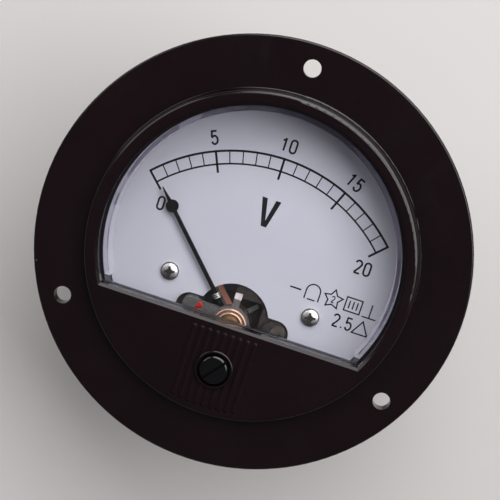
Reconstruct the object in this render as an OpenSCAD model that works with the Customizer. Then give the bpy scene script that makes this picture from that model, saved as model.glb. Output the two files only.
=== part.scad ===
// Round flush-mounting analog panel meter, 90 mm flange, 65 mm body, moving-coil movement.
// Frame: origin at the centre of the flange's rear (panel) face, +Z out of the face, +Y to 12 o'clock.
// Every name is in millimetres or degrees unless its comment says otherwise.

/* [Front bezel] */
// Outside diameter of the mounting flange
flange_d = 90; // [88.5:0.5:100]
// Thickness of the flange
flange_t = 3; // [2.8:0.1:3.4]
// Distance from the flange's edge to the centre of each fixing hole
hole_in = 5; // [4.5:0.1:5.5]
// Diameter of each fixing hole
hole_d = 3.6; // [3.2:0.1:4.2]
// Radius of the fillet at the foot of the raised front
foot_fillet = 0.35; // [0.2:0.05:0.5]
// Height of the raised front above the flange
face_h = 2.9; // [2.8:0.1:3.1]
// How far the lip of the window opening covers the pane's edge
lip_w = 0.9; // [0.8:0.1:1.1]
// Height of the straight edge of the window opening, below centre
chord_y = 14.4; // [14:0.1:14.6]
// Depth of the bevel that runs round the window opening
bevel_h = 0.45; // [0.35:0.05:0.6]
// Number of ribs moulded on the lower part of the face
rib_count = 9; // [5:2:11]
// Pitch of those ribs
rib_pitch = 1.62; // [1.5:0.02:1.7]
// Height of each rib above the face
rib_h = 0.25; // [0.2:0.05:0.4]

/* [Window] */
// Thickness of the clear pane
pane_t = 1.6; // [1.4:0.1:1.6]
// Wall of the clear skirt that reaches down to the dial
skirt_t = 1.0; // [0.8:0.1:1.2]

/* [Dial] */
// Height of the dial's white face, below the flange's rear face
dial_z = 5; // [4.9:0.1:5.2]
// Thickness of the dial plate
dial_t = 0.8; // [0.6:0.1:0.8]
// Half the distance between the two dial screws
dial_screw_x = 15.5; // [15:0.1:16]
// Distance of the dial screws below centre
dial_screw_y = 9.6; // [9.2:0.1:10]
// Radius of the dial's round cut-out over the movement
cut_r = 7.75; // [7.5:0.05:8]

/* [Pointer] */
// Clearance between the movement's iron ring and the case wall, which sets the pointer's axis
yoke_gap = 1.55; // [1.45:0.05:1.65]
// Angle of the resting pointer, left of 12 o'clock
rest_a = 44; // [43:0.5:46]
// Distance from the axis to the pointer's tip
tip_r = 31.8; // [31:0.1:32.2]
// Distance from the axis to the centre of the pointer's disc
disc_y = 27.35; // [27:0.05:27.8]
// Diameter of the pointer's disc
disc_d = 2.7; // [2.3:0.1:3]

/* [Zero adjuster] */
// Distance from the pointer's axis to the adjuster's axis
adjust_l = 8.2; // [8.1:0.1:8.3]
// Diameter of the adjuster's round-edged head
adjust_head_d = 6.2; // [5.8:0.1:6.3]
// Offset of the eccentric pin from the adjuster's own axis
adjust_e = 1.35; // [1.2:0.05:1.35]

/* [Rear case] */
// Outside diameter of the case behind the panel
case_d = 65; // [64.8:0.1:65.4]
// Depth of the case behind the panel face
case_depth = 33; // [32.5:0.5:36]
// Distance between the two terminal studs
stud_pitch = 30; // [28:0.5:32]
// Height of the studs below centre
stud_y = 2; // [1:0.5:3]
// Thread diameter of the studs
stud_d = 4; // [3.8:0.1:4]

/* [Hidden] */
$fn = 96;

// ---- front bezel
flange_r = flange_d/2;
hole_pcd = flange_d - 2*hole_in;       // circle the three fixing holes lie on
face_z = flange_t + face_h;            // top of the raised front
lip_z = face_z - bevel_h;              // height of the window's lip
bevel_w = 0.55;                        // width of the bevel round the window
bevel_y = chord_y + bevel_w;           // outer edge of the bevel on the straight side
shoulder_r = 1.1;                      // rounding of the raised front's shoulder
pane_top = 3.0;                        // underside of the lip, where the pane seats
pane_bot = pane_top - pane_t;
seat_t = pane_bot;                     // thickness of the case flange let into the bezel
seat_gap = 0.1;                        // clearance round the case flange and the pane
rib_top = 16.6;                        // upper end of the ribs, below centre
rib_r = 0.8;                           // radius of each rib's rounded top
pane_y = chord_y - 0.05;               // the pane's straight edge, against the wall of the opening
skirt_y = pane_y - 1.15;               // lower end of the clear skirt
curtain_t = 1.6;                       // wall under the straight edge of the opening
curtain_z = 0.4;                       // its lower end, above the movement
hollow_y = chord_y + 3.6;              // upper end of the hollow behind the lower face
apron_t = 2.0;                         // wall of the lower face
collar_r = 4.05;
collar_bore = 3.5;
collar_round = 0.35;                   // rounding of the collar's rim
collar_z = face_z + 0.85;
shaft_floor = face_z - 1.1;            // floor of the collar's bore
shaft_r = 2.0;
run_gap = 0.06;                        // running clearance, on the radius
boss_z = seat_t;                       // rear end of the boss that guides the adjuster
boss_r = 3.6;

// ---- case
case_r = case_d/2;
case_wall = 1.75;
case_in = case_r - case_wall;
seat_r = case_r + 2.5;                 // radius of the case flange
floor_z = -case_depth + 2.4;
skirt_gap = 0.1;                       // clearance between the clear skirt and the case wall
skirt_out = case_in - skirt_gap;
dial_r = case_in - 0.15;
case_screw_a = 36.1;                   // direction of each long screw, from 6 o'clock
case_screw_r = case_in - 1.55;
case_screw_x = case_screw_r*sin(case_screw_a);
case_screw_y = case_screw_r*cos(case_screw_a);
case_screw_top = face_z - 1.5;
case_boss_r = 2.5;
stud_end = -case_depth - 12;           // tips of the studs

// ---- raised front, from the pane that it holds
pane_r = skirt_out + 1.35;             // outside radius of the pane
lip_r = pane_r - lip_w;                // window opening at its lip
bevel_r = lip_r + bevel_w;             // outer edge of the bevel on the round side
face_r = pane_r + 2.15;                // radius of the raised front's side wall
foot_r = face_r + foot_fillet;
hollow_r = face_r - 3.15;              // hollow behind the lower face
rib_end_r = face_r - 2.15;             // circle the ribs run down to

// ---- movement heights (row frame)
bush_top = -0.55;
bush_low = -1.1;                       // underside of the bush's rolled flange
lever_top = -1.16;
lever_low = -1.66;
bridge_top = -1.75;
bridge_low = -2.45;
hair_top = -2.75;
hair_low = -3.2;
arm_top = -3.55;                       // pointer
arm_low = -3.95;
dial_low = -dial_z - dial_t;
frame_low = dial_low - 2.2;            // underside of the moulded frame's plate
wind_top = frame_low - 1;               // coil winding, outer
wind_low = -22.1;
wind_t = 0.9;
form_t = 0.3;
coil_in = 7.8;                         // inner half length of the former
coil_w = 2.4;                          // width of the winding
core_r = 7.2;
core_top = -11.5;
core_low = -20.5;
yoke_in = 10.3;
yoke_out = 13.4;
axis_y = case_in - yoke_out - yoke_gap; // pointer's axis, below centre
adjust_y = axis_y + adjust_l;          // adjuster's axis, below centre
base_top = -22.4;
base_low = -24.6;
spindle_r = 0.5;
pin_r = 0.6;                           // eccentric pin, and the lever's fork that it works in
fork_gap = 0.16;
stud_r = stud_d/2;
stud_x = stud_pitch/2;

module at_axis() { translate([0, -axis_y, 0]) children(); }
module at_rest() { at_axis() rotate([0, 0, rest_a]) children(); }
module both(x) { for (s = [-1, 1]) translate([s*x, 0, 0]) children(); }
module tube(ro, ri, z0, z1) {
    translate([0, 0, z0]) difference() {
        cylinder(r = ro, h = z1 - z0);
        translate([0, 0, -1]) cylinder(r = ri, h = z1 - z0 + 2);
    }
}
module ring(ro, r, z) { translate([0, 0, z]) rotate_extrude() translate([ro, 0]) circle(r = r); }
module rod(r, z0, z1) { translate([0, 0, z0]) cylinder(r = r, h = z1 - z0); }
module block(x0, x1, y0, y1, z0, z1) { translate([x0, y0, z0]) cube([x1 - x0, y1 - y0, z1 - z0]); }
// flat plate with four round corners, as boxes and cylinders
module round_plate(x0, x1, y0, y1, z0, z1, r) {
    block(x0 + r, x1 - r, y0, y1, z0, z1);
    block(x0, x1, y0 + r, y1 - r, z0, z1);
    for (x = [x0 + r, x1 - r], y = [y0 + r, y1 - r]) translate([x, y, 0]) rod(r, z0, z1);
}
// everything above the window's straight edge, down to y = -c
module above(c, z0, z1) { block(-60, 60, -c, 60, z0, z1); }
module d_plate(r, c, z0, z1) { intersection() { rod(r, z0, z1); above(c, z0 - 1, z1 + 1); } }

// ---------------------------------------------------------------- front bezel
module bezel_profile() {
    translate([0, 0]) square([flange_r - 0.45, flange_t]);
    translate([0, 0.25]) square([flange_r, flange_t - 0.7]);
    translate([flange_r - 0.45, flange_t - 0.45]) circle(r = 0.45);
    translate([flange_r - 0.25, 0.25]) circle(r = 0.25);
    square([face_r - shoulder_r, face_z]);
    square([face_r, face_z - shoulder_r]);
    translate([face_r - shoulder_r, face_z - shoulder_r]) circle(r = shoulder_r);
    difference() {                                   // small fillet at the foot
        square([foot_r, flange_t + foot_fillet]);
        translate([foot_r, flange_t + foot_fillet]) circle(r = foot_fillet);
    }
}
// the sloping cut round the window: a cone on the round side, a slanted plane on the straight side
module window_bevel() {
    intersection() {
        translate([0, 0, lip_z]) cylinder(r1 = lip_r, r2 = bevel_r, h = bevel_h + 0.001);
        rotate([90, 0, 90]) translate([0, 0, -60]) linear_extrude(height = 120)
            polygon([[-chord_y, lip_z - 1], [-chord_y, lip_z], [-bevel_y, face_z + 0.002],
                     [60, face_z + 0.002], [60, lip_z - 1]]);
    }
}
module ribs() {
    half = (rib_count - 1)/2;
    for (i = [-half:half]) {
        x = i*rib_pitch;
        y1 = -rib_top;
        y0 = -sqrt(rib_end_r*rib_end_r - x*x) + 0.1;
        zc = face_z + rib_h - rib_r;
        translate([x, y1, zc]) rotate([90, 0, 0]) {
            sphere(r = rib_r);
            cylinder(r = rib_r, h = y1 - y0);
            translate([0, 0, y1 - y0]) sphere(r = rib_r);
        }
    }
}
module front_bezel() {
    color([0.03, 0.03, 0.035]) difference() {
        union() {
            rotate_extrude() bezel_profile();
            ribs();
            translate([0, -adjust_y, 0]) {
                rod(collar_r - collar_round, face_z - 0.5, collar_z);
                rod(collar_r, face_z - 0.5, collar_z - collar_round);
                ring(collar_r - collar_round, collar_round, collar_z - collar_round);
            }
        }
        // window opening, its bevel and the recess the pane seats in
        d_plate(lip_r, chord_y, -1, face_z + 1);
        window_bevel();
        d_plate(pane_r + seat_gap, chord_y, -1, pane_top);
        // seat for the case flange, with the wall of the straight edge left standing in it
        difference() {
            rod(seat_r + seat_gap, -1, seat_t);
            intersection() {
                rod(skirt_out, curtain_z, seat_t + 1);
                block(-40, 40, -chord_y - curtain_t, -chord_y, curtain_z, seat_t + 1);
            }
        }
        // hollow behind the lower face, with a boss left standing for the adjuster
        difference() {
            intersection() {
                rod(hollow_r, seat_t - 1, face_z - apron_t);
                block(-40, 40, -40, -hollow_y, -1, face_z);
            }
            translate([0, -adjust_y, 0]) rod(boss_r, -2, face_z);
            both(case_screw_x) translate([0, -case_screw_y, 0]) rod(case_boss_r, -2, face_z);
        }
        // collar bore and shaft hole
        translate([0, -adjust_y, 0]) {
            rod(collar_bore, shaft_floor, collar_z + 1);
            rod(shaft_r + run_gap, -2, collar_z + 1);
        }
        for (a = [90, 210, 330]) rotate([0, 0, a]) translate([hole_pcd/2, 0, 0]) rod(hole_d/2, -1, face_z + 1);
        both(case_screw_x) translate([0, -case_screw_y, 0]) rod(1.0, -1, case_screw_top + 0.2);
    }
}

// ---------------------------------------------------------------- window
module window() {
    color([0.85, 0.9, 0.92, 0.35]) {
        d_plate(pane_r, pane_y, pane_bot, pane_top);
        difference() {                               // skirt, which stops above the movement
            d_plate(skirt_out, skirt_y, -dial_z, pane_bot + pane_t/2);
            rod(skirt_out - skirt_t, -dial_z - 1, pane_bot);
        }
    }
}

// ---------------------------------------------------------------- zero adjuster
clip_z = boss_z - 0.12;
clip_t = 0.5;
module zero_adjuster() {
    head_r = adjust_head_d/2;
    edge = 0.8;                                       // rounding of the head's rim
    head_top = collar_z + 0.35;
    slot = 0.3;                                       // half the slot's width
    color([0.02, 0.02, 0.022]) translate([0, -adjust_y, 0]) difference() {
        union() {
            rod(head_r - edge, shaft_floor + 0.1, head_top);
            rod(head_r, shaft_floor + 0.1, head_top - edge);
            ring(head_r - edge, edge, head_top - edge);
            rod(shaft_r, -0.65, shaft_floor + 0.2);
            translate([0, -adjust_e, 0]) rod(pin_r, -2.2, -0.6);
        }
        rotate([0, 0, 50]) block(-head_r - 1, head_r + 1, -slot, slot, head_top - 1.15, head_top + 1);
        tube(shaft_r + 1, shaft_r - 0.3, clip_z - clip_t - 0.06, clip_z + 0.06);
    }
}
module adjuster_clip() {
    color([0.5, 0.5, 0.52]) translate([0, -adjust_y, 0]) difference() {
        tube(3.2, shaft_r - 0.3, clip_z - clip_t, clip_z);
        block(0, 5, -1.1, 1.1, -3, 3);
    }
}

// ---------------------------------------------------------------- rear case
edge_r = 1.5;                          // rounding of the back edge
module case_profile() {
    square([seat_r, seat_t]);
    translate([0, -case_depth + edge_r]) square([case_r, case_depth - edge_r]);
    translate([0, -case_depth]) square([case_r - edge_r, case_depth]);
    translate([case_r - edge_r, -case_depth + edge_r]) circle(r = edge_r);
}
module rear_case() {
    color([0.04, 0.04, 0.045]) difference() {
        union() {
            rotate_extrude() case_profile();
            // raised pads round the studs, with the polarity marks moulded beside them
            both(stud_x) translate([0, -stud_y, 0]) rod(6, -case_depth - 0.6, -case_depth + 0.1);
        }
        // the hollow, with two tubes left standing for the long screws
        difference() {
            rod(case_in, floor_z, seat_t + 1);
            both(case_screw_x) translate([0, -case_screw_y, 0]) rod(case_boss_r, floor_z - 1, seat_t);
        }
        // moulding recess in the middle of the back wall
        tube(23.5, 21.5, -case_depth - 0.01, -case_depth + 0.5);
        both(stud_x) translate([0, -stud_y, 0]) rod(stud_r + 0.15, -case_depth - 2, floor_z + 1);
        both(case_screw_x) translate([0, -case_screw_y, 0]) {
            rod(1.4, -case_depth - 1, seat_t + 1);
            rod(2.4, -case_depth - 1, -case_depth + 1.7);
        }
    }
    color([0.04, 0.04, 0.045]) {
        // plus and minus in relief
        translate([stud_x, 8.2, 0]) { block(-2, 2, -0.4, 0.4, -case_depth - 0.4, -case_depth + 0.1);
            block(-0.4, 0.4, -2, 2, -case_depth - 0.4, -case_depth + 0.1); }
        translate([-stud_x, 8.2, 0]) block(-2, 2, -0.4, 0.4, -case_depth - 0.4, -case_depth + 0.1);
    }
}
module case_screws() {
    z = -case_depth;
    color([0.6, 0.6, 0.62]) both(case_screw_x) translate([0, -case_screw_y, 0]) difference() {
        union() {
            intersection() {
                rod(2.2, z + 0.2, z + 1.7);
                translate([0, 0, z + 0.2 + 3.6]) sphere(r = 3.6);
            }
            rod(1.0, z + 1.6, case_screw_top);
        }
        for (t = [20, 110]) rotate([0, 0, t]) block(-1.3, 1.3, -0.28, 0.28, z - 1, z + 1.0);
    }
}

// ---------------------------------------------------------------- dial
dial_chord = 17.6;
module dial_plate() {
    color([0.93, 0.94, 0.97]) difference() {
        d_plate(dial_r, dial_chord, dial_low, -dial_z);
        translate([0, -axis_y + 0.4, 0]) rod(cut_r, -9, 0);
        at_axis() round_plate(-12.35, 12.35, -9.2, 3.25, -9, 0, 2.9);
        both(dial_screw_x) translate([0, -dial_screw_y, 0]) rod(1.15, -9, 0);
    }
}
washer_r = 1.95;
washer_t = 0.3;
module dial_washers() {
    color([0.62, 0.62, 0.64]) both(dial_screw_x) translate([0, -dial_screw_y, 0]) tube(washer_r, 1.1, -dial_z, -dial_z + washer_t);
}
// pan heads with a cross recess
module dial_screws() {
    head_z = -dial_z + washer_t;
    head_r = 1.7;
    head_h = 0.95;
    head_dome = 3.4;                                  // radius of the domed top
    recess_z = head_z + 0.25;
    recess_l = 1.15;                                  // half the length of each arm of the recess
    recess_w = 0.25;                                  // half its width
    color([0.75, 0.75, 0.77]) both(dial_screw_x) translate([0, -dial_screw_y, 0]) difference() {
        union() {
            intersection() {
                rod(head_r, head_z, head_z + head_h);
                translate([0, 0, head_z + head_h - head_dome]) sphere(r = head_dome);
            }
            rod(1.0, frame_low - 2.2, head_z + 0.1);
        }
        for (t = [12, 102]) rotate([0, 0, t]) block(-recess_l, recess_l, -recess_w, recess_w, recess_z, head_z + 3);
        translate([0, 0, recess_z - 0.05]) cylinder(r1 = 0.2, r2 = 0.75, h = head_h - 0.15);
    }
}

// ---------------------------------------------------------------- moulded movement frame
// the bridge's landing and screws, and the lead tag's screw and wire hole, from the pointer's axis
boss_x0 = -10.8;
boss_x1 = -7.1;
boss_y0 = -6.6;
boss_y1 = 3.05;
bridge_holes = [[-8.95, -1.8], [-8.95, -4.9]];
tag_screw = [9.2, -7.0];
tag_wire = [9.7, -4.8];
tag_peg = [10.5, 0.3];
tag_top = -4.2;
tag_t = 0.4;
move_r = 11.85;
move_a = [90, 235, 305];
module movement_frame() {
    color([0.16, 0.11, 0.09]) difference() {
        union() {
            at_axis() {
                round_plate(-19.3, 19.3, -1.8, 13.8, frame_low, dial_low, 3);
                round_plate(-13.8, 13.8, -12.4, 5.8, frame_low, dial_low, 3);
                // landings for the front bridge and for the lead tag
                round_plate(boss_x0, boss_x1, boss_y0, boss_y1, dial_low - 1, bridge_low, 1.4);
                round_plate(6.5, 11.9, -8.8, 2.8, dial_low - 1, tag_top - tag_t, 2.4);
                translate(tag_peg) rod(0.45, tag_top - tag_t - 0.1, tag_top - 0.05);
            }
            both(dial_screw_x) translate([0, -dial_screw_y, 0]) rod(2.5, frame_low - 2.4, frame_low + 0.5);
        }
        both(dial_screw_x) translate([0, -dial_screw_y, 0]) rod(1.0, frame_low - 3, dial_low + 1);
        both(case_screw_x) translate([0, -case_screw_y, 0]) rod(case_boss_r + 0.3, frame_low - 1, dial_low + 1);
        at_axis() {
            // opening over the moving coil
            block(-6.9, 5.6, -6.8, 5.4, frame_low - 1, dial_low + 1);
            block(-6.9, -0.9, 5, 8.6, frame_low - 1, dial_low + 1);
            for (p = bridge_holes) translate(p) rod(0.8, dial_low - 1.8, bridge_low + 1);
            translate(tag_screw) rod(0.8, dial_low - 1.8, tag_top + 0.2);
            translate(tag_wire) rod(0.65, tag_top - tag_t - 0.55, tag_top + 0.2);     // relief under the soldered wire
            for (a = move_a) rotate([0, 0, a]) translate([move_r, 0, 0]) {
                rod(0.95, frame_low - 1, dial_low + 1);
                rod(1.75, dial_low - 1.2, dial_low + 1);
            }
        }
    }
}

// ---------------------------------------------------------------- front bridge, bush and jewel
bush_r = 3.0;
jewel_r = 1.25;
module front_bridge() {
    color([0.45, 0.46, 0.47]) at_axis() difference() {
        union() {
            round_plate(boss_x0, -5.2, -3.5, boss_y1, bridge_low, bridge_top, 2.4);
            round_plate(boss_x0, boss_x1, boss_y0, boss_y1, bridge_low, bridge_top, 1.4);
            block(-7, 0, -2.9, 2.95, bridge_low, bridge_top);
            rod(4.1, bridge_low, bridge_top);
            block(3, 6.0, -0.6, 0.6, bridge_low, bridge_top);             // lug for the lead tag
        }
        rod(2.2, bridge_low - 1, bridge_top + 1);
        for (p = bridge_holes) translate(p) rod(0.95, bridge_low - 1, bridge_top + 1);
    }
}
module pan_screw(place, r, shank, z, low) {
    translate(place) difference() {
        union() {
            intersection() {
                rod(r, z, z + 0.8);
                translate([0, 0, z + 0.8 - 1.5*r]) sphere(r = 1.5*r);
            }
            rod(shank, low, z + 0.1);
        }
        block(-r - 1, r + 1, -0.2, 0.2, z + 0.4, z + 3);
    }
}
module bridge_screws() {
    color([0.7, 0.7, 0.72]) at_axis() for (p = bridge_holes) pan_screw(p, 1.45, 0.8, bridge_top, dial_low - 1.6);
}
module bearing_bush() {
    color([0.72, 0.47, 0.33]) at_axis() difference() {
        union() {
            rod(bush_r, bridge_top, bush_low);                     // barrel the lever turns on
            rod(2.2, bridge_low, bridge_top);                      // spigot pressed in the bridge
            translate([0, 0, bush_low]) rotate_extrude() {         // rolled flange
                square([3.3, 0.3]);
                translate([3.3, 0.275]) circle(r = 0.275);
                translate([2.5, 0.275]) circle(r = 0.275);
            }
        }
        rod(1.95, -1.35, 1);                                       // recess round the jewel screw
        rod(jewel_r, -3, 1);
    }
}
module jewel_screw_front() {
    color([0.8, 0.62, 0.3]) at_axis() difference() {
        union() {
            rod(jewel_r, bridge_low - 0.25, -1.35);
            rod(1.6, -1.35, -0.85);
        }
        rod(spindle_r + 0.09, bridge_low - 1, -1.95);
        rotate([0, 0, 25]) block(-2, 2, -0.2, 0.2, -1.15, 0);
    }
}

// ---------------------------------------------------------------- zero lever
module zero_lever() {
    fork_half = pin_r + fork_gap;
    color([0.78, 0.79, 0.8]) at_axis() difference() {
        union() {
            rod(4.0, lever_low, lever_top);
            // spring arm with its end bent down
            translate([-0.75, 0, 0]) rotate([90, 0, 90]) linear_extrude(height = 1.5)
                polygon([[3.4, lever_low], [5.7, lever_low], [6.95, lever_low - 0.55],
                         [6.95, lever_low - 0.05], [5.75, lever_top], [3.4, lever_top]]);
            block(-0.35, 0.35, 4.62, 4.92, hair_low - 0.1, lever_low + 0.1); // finger holding the spring
            block(-1.3, 1.3, -adjust_l - 0.4, -3.4, lever_low, lever_top);    // tail
            round_plate(-1.9, 1.9, -adjust_l - 3, -adjust_l + 0.8, lever_low, lever_top, 0.6);
        }
        rod(bush_r + run_gap, lever_low - 1, lever_top + 1);
        block(-fork_half, fork_half, -adjust_l - 4, -adjust_l + 0.2, lever_low - 1, lever_top + 1);
    }
}

// flat spiral strip drawn as half turns about two centres
module spiral(r_in, turns, pitch, t, z0, z1) {
    d = pitch/2;
    for (k = [0:2*turns - 1])
        translate([k % 2 == 0 ? 0 : d, 0, z0]) rotate([0, 0, k % 2 == 0 ? 0 : 180])
            rotate_extrude(angle = 180) translate([r_in + k*d - t/2, 0]) square([t, z1 - z0]);
}
module hairspring_front() {
    color([0.62, 0.5, 0.36]) at_axis() rotate([0, 0, 90]) spiral(1.07, 6, 0.58, 0.14, hair_low, hair_top);
}

// ---------------------------------------------------------------- pointer and moving coil
module pointer() {
    half_root = 0.48;
    half_neck = 0.4;
    color([0.02, 0.02, 0.022]) at_rest() translate([0, 0, arm_low]) linear_extrude(height = arm_top - arm_low) difference() {
        union() {
            circle(r = 1.7);
            polygon([[-half_root, -0.5], [half_root, -0.5], [half_neck, disc_y], [-half_neck, disc_y]]);
            translate([0, disc_y]) circle(r = disc_d/2);
            polygon([[-0.55, disc_y], [0.55, disc_y], [0.3, disc_y + 2.2], [0.09, tip_r], [-0.09, tip_r], [-0.3, disc_y + 2.2]]);
            polygon([[-0.3, -6.6], [0.3, -6.6], [0.42, 0.5], [-0.42, 0.5]]);
        }
        circle(r = 0.9);
    }
}
module pointer_hub() {
    color([0.75, 0.6, 0.32]) at_axis() difference() {
        union() { rod(0.9, -4.8, hair_low + 0.05); rod(1.5, -4.35, arm_low); }
        rod(spindle_r, -6, -2);
    }
}
module pivot_front() { color([0.6, 0.6, 0.62]) at_axis() { rod(spindle_r, wind_top + 0.5, -2.3); translate([0, 0, -2.3]) cylinder(r1 = spindle_r, r2 = 0.12, h = 0.28); } }
// small wire coils slid over the arms
module wire_coil(y0, turns, R, r) {
    for (i = [0:turns - 1]) translate([0, y0 + i*2*r, 0]) rotate([90, 0, 0]) rotate_extrude() translate([R, 0]) circle(r = r, $fn = 24);
}
module balance_weights() {
    zc = (arm_top + arm_low)/2;
    color([0.75, 0.75, 0.76]) at_rest() {
        translate([0, 0, zc]) wire_coil(6.0, 3, 0.78, 0.2);
        translate([0, 0, zc]) rotate([0, 0, 180]) wire_coil(5.2, 3, 0.68, 0.2);
    }
}
module balance_arms() {
    z0 = wind_top;
    color([0.5, 0.5, 0.5]) at_rest() difference() {
        union() {
            rod(1.3, z0, z0 + 0.9);
            for (s = [-1, 1]) {
                block(min(0, s*5.95), max(0, s*5.95), -0.45, 0.45, z0 + 0.3, z0 + 0.7);
                translate([s*5.95, 0, 0]) rod(0.45, z0 + 0.3, z0 + 0.7);
            }
            block(-1.15, 0.1, -coil_in, coil_in, z0, z0 + 0.3);         // insulating strip glued on the coil
        }
        rod(spindle_r, z0 + 0.5, z0 + 2);
    }
}
coil_out = coil_in + form_t + wind_t;
form_top = wind_top - wind_t;
form_low = wind_low + wind_t;
module coil_winding() {
    color([0.62, 0.33, 0.2]) at_rest() difference() {
        block(-coil_w/2, coil_w/2, -coil_out, coil_out, wind_low, wind_top);
        block(-coil_w, coil_w, -coil_in - form_t, coil_in + form_t, form_low, form_top);
    }
}
module coil_former() {
    color([0.75, 0.76, 0.78]) at_rest() difference() {
        block(-coil_w/2 + 0.1, coil_w/2 - 0.1, -coil_in - form_t, coil_in + form_t, form_low, form_top);
        block(-coil_w, coil_w, -coil_in, coil_in, form_low + form_t, form_top - form_t);
    }
}
module pivot_rear() {
    color([0.6, 0.6, 0.62]) at_axis() {
        rod(1.0, wind_low - 0.5, wind_low);
        rod(spindle_r, wind_low - 2.6, wind_low - 0.4);
        rod(0.85, wind_low - 1.8, wind_low - 0.9);
        translate([0, 0, wind_low - 2.88]) cylinder(r1 = 0.12, r2 = spindle_r, h = 0.28);
    }
}
module hairspring_rear() {
    color([0.62, 0.5, 0.36]) at_axis() rotate([0, 0, 45]) spiral(1.05, 5, 0.57, 0.14, -23.9, -23.45);
}
module spring_tag_rear() {
    color([0.7, 0.7, 0.7]) at_axis() rotate([0, 0, -45]) {
        block(-0.45, 0.45, 3.97, 4.22, base_low, -23.3);
        block(-0.45, 0.45, 3.97, 11.9, base_low - 0.25, base_low);
    }
}

// ---------------------------------------------------------------- magnet system
module magnet_core() {
    color([0.42, 0.42, 0.43]) at_axis() difference() {
        rod(core_r, core_low, core_top);
        both(5.4) rod(0.8, core_low - 1, core_low + 3.5);
    }
}
module core_cap() {
    color([0.2, 0.14, 0.11]) at_axis() round_plate(-5.3, 5.3, -4.9, 4.9, core_top, core_top + 0.5, 0.4);
}
module core_screws() {
    color([0.62, 0.62, 0.64]) at_axis() both(5.4) difference() {
        union() { rod(1.5, base_low - 1, base_low); rod(0.8, base_low - 0.1, core_low + 3.2); }
        block(-2, 2, -0.2, 0.2, base_low - 2, base_low - 0.6);
    }
}
module yoke_ring() {
    color([0.55, 0.56, 0.57]) at_axis() difference() {
        tube(yoke_out, yoke_in, base_top, frame_low);
        for (a = move_a) rotate([0, 0, a]) translate([move_r, 0, 0]) rod(0.95, base_top - 1, frame_low + 1);
    }
}
module movement_screws() {
    color([0.62, 0.62, 0.64]) at_axis() for (a = move_a) rotate([0, 0, a]) translate([move_r, 0, 0]) difference() {
        union() { rod(1.6, dial_low - 1.2, dial_low - 0.15); rod(0.8, base_low + 0.2, dial_low - 1.1); }
        block(-2, 2, -0.2, 0.2, dial_low - 0.65, dial_low + 1);
    }
}
stop_a = 47.5 + asin((coil_w/2 + 0.8)/8.6) + 0.4;
module movement_base() {
    color([0.16, 0.11, 0.09]) difference() {
        union() {
            at_axis() rod(14.0, base_low, base_top);
            round_plate(-stud_x - 5, stud_x + 5, -stud_y - 5.5, -stud_y + 5.2, base_low, base_top, 3.5);
            both(stud_x) translate([0, -stud_y, 0]) rod(4.4, floor_z, base_top);
            at_axis() both(5.4) rod(1.6, base_low, core_low);
            // two pegs that stop the coil just past each end of the scale
            at_axis() for (a = [90 + stop_a, 90 - stop_a]) rotate([0, 0, a]) translate([8.6, 0, 0]) rod(0.8, base_low, base_top + 2.5);
        }
        at_axis() {
            rod(4.3, base_low - 1, base_top + 1);
            both(5.4) rod(0.95, base_low - 1, core_low + 1);
            for (a = move_a) rotate([0, 0, a]) translate([move_r, 0, 0]) rod(0.8, base_low - 1, base_top + 1);
            for (s = [-1, 1]) translate([0, s*7.6, 0]) rod(0.75, base_low - 1, base_top - 0.5);
        }
        both(stud_x) translate([0, -stud_y, 0]) rod(stud_r + 0.15, floor_z - 1, base_top + 1);
    }
}
module rear_bridge() {
    color([0.45, 0.46, 0.47]) at_axis() difference() {
        round_plate(-2.2, 2.2, -9.4, 9.4, base_low - 0.9, base_low, 1.2);
        rod(jewel_r, base_low - 2, base_low + 1);
        for (s = [-1, 1]) translate([0, s*7.6, 0]) rod(0.9, base_low - 2, base_low + 1);
    }
}
module rear_bridge_screws() {
    z = base_low - 0.9;
    color([0.62, 0.62, 0.64]) at_axis() for (s = [-1, 1]) translate([0, s*7.6, 0]) difference() {
        union() { rod(1.45, z - 0.9, z); rod(0.75, z - 0.1, base_top - 0.7); }
        block(-2, 2, -0.2, 0.2, z - 2, z - 0.5);
    }
}
module jewel_screw_rear() {
    color([0.8, 0.62, 0.3]) at_axis() difference() {
        union() { rod(jewel_r, base_low - 1.9, base_low + 0.6); rod(1.9, base_low - 1.7, base_low - 0.9); }
        rod(spindle_r + 0.09, -25.1, base_low + 2);
        block(-2, 2, -0.2, 0.2, base_low - 3, base_low - 1.5);
    }
}

// ---------------------------------------------------------------- electrical pieces
// round wire along straight stretches, rounded at each bend
module wire(pts, r) {
    for (i = [1:len(pts) - 2]) translate(pts[i]) sphere(r = r, $fn = 24);
    for (i = [0:len(pts) - 2]) {
        v = pts[i + 1] - pts[i];
        translate(pts[i]) rotate([0, acos(v[2]/norm(v)), atan2(v[1], v[0])]) cylinder(r = r, h = norm(v), $fn = 24);
    }
}
module lead_tag() {
    leg = [8.2, 8.6, -0.5, 0.5];                                         // leg up to the bridge's lug
    tag_low = tag_top - tag_t;
    color([0.7, 0.7, 0.7]) at_axis() difference() {
        union() {
            round_plate(leg[1], 11.6, -5.6, 2.4, tag_low, tag_top, 1.4);
            round_plate(7.0, 11.3, -8.5, -4.4, tag_low, tag_top, 1.4);
            block(leg[0], leg[1], leg[2], leg[3], tag_low, bridge_top + 0.3);
            block(leg[0], leg[1] + 0.4, leg[2], leg[3], tag_low, tag_top);
            block(4.9, leg[1], leg[2], leg[3], bridge_top, bridge_top + 0.3);
        }
        translate(tag_screw) rod(0.95, tag_low - 1, tag_top + 1);
        translate(tag_wire) rod(0.42, tag_low - 1, tag_top + 1);
        translate(tag_peg) rod(0.5, tag_low - 1, tag_top + 1);
    }
}
module lead_tag_screw() { color([0.66, 0.66, 0.68]) at_axis() pan_screw(tag_screw, 1.35, 0.8, tag_top, dial_low - 1.6); }
stud_lead_in = 0.4;
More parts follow.
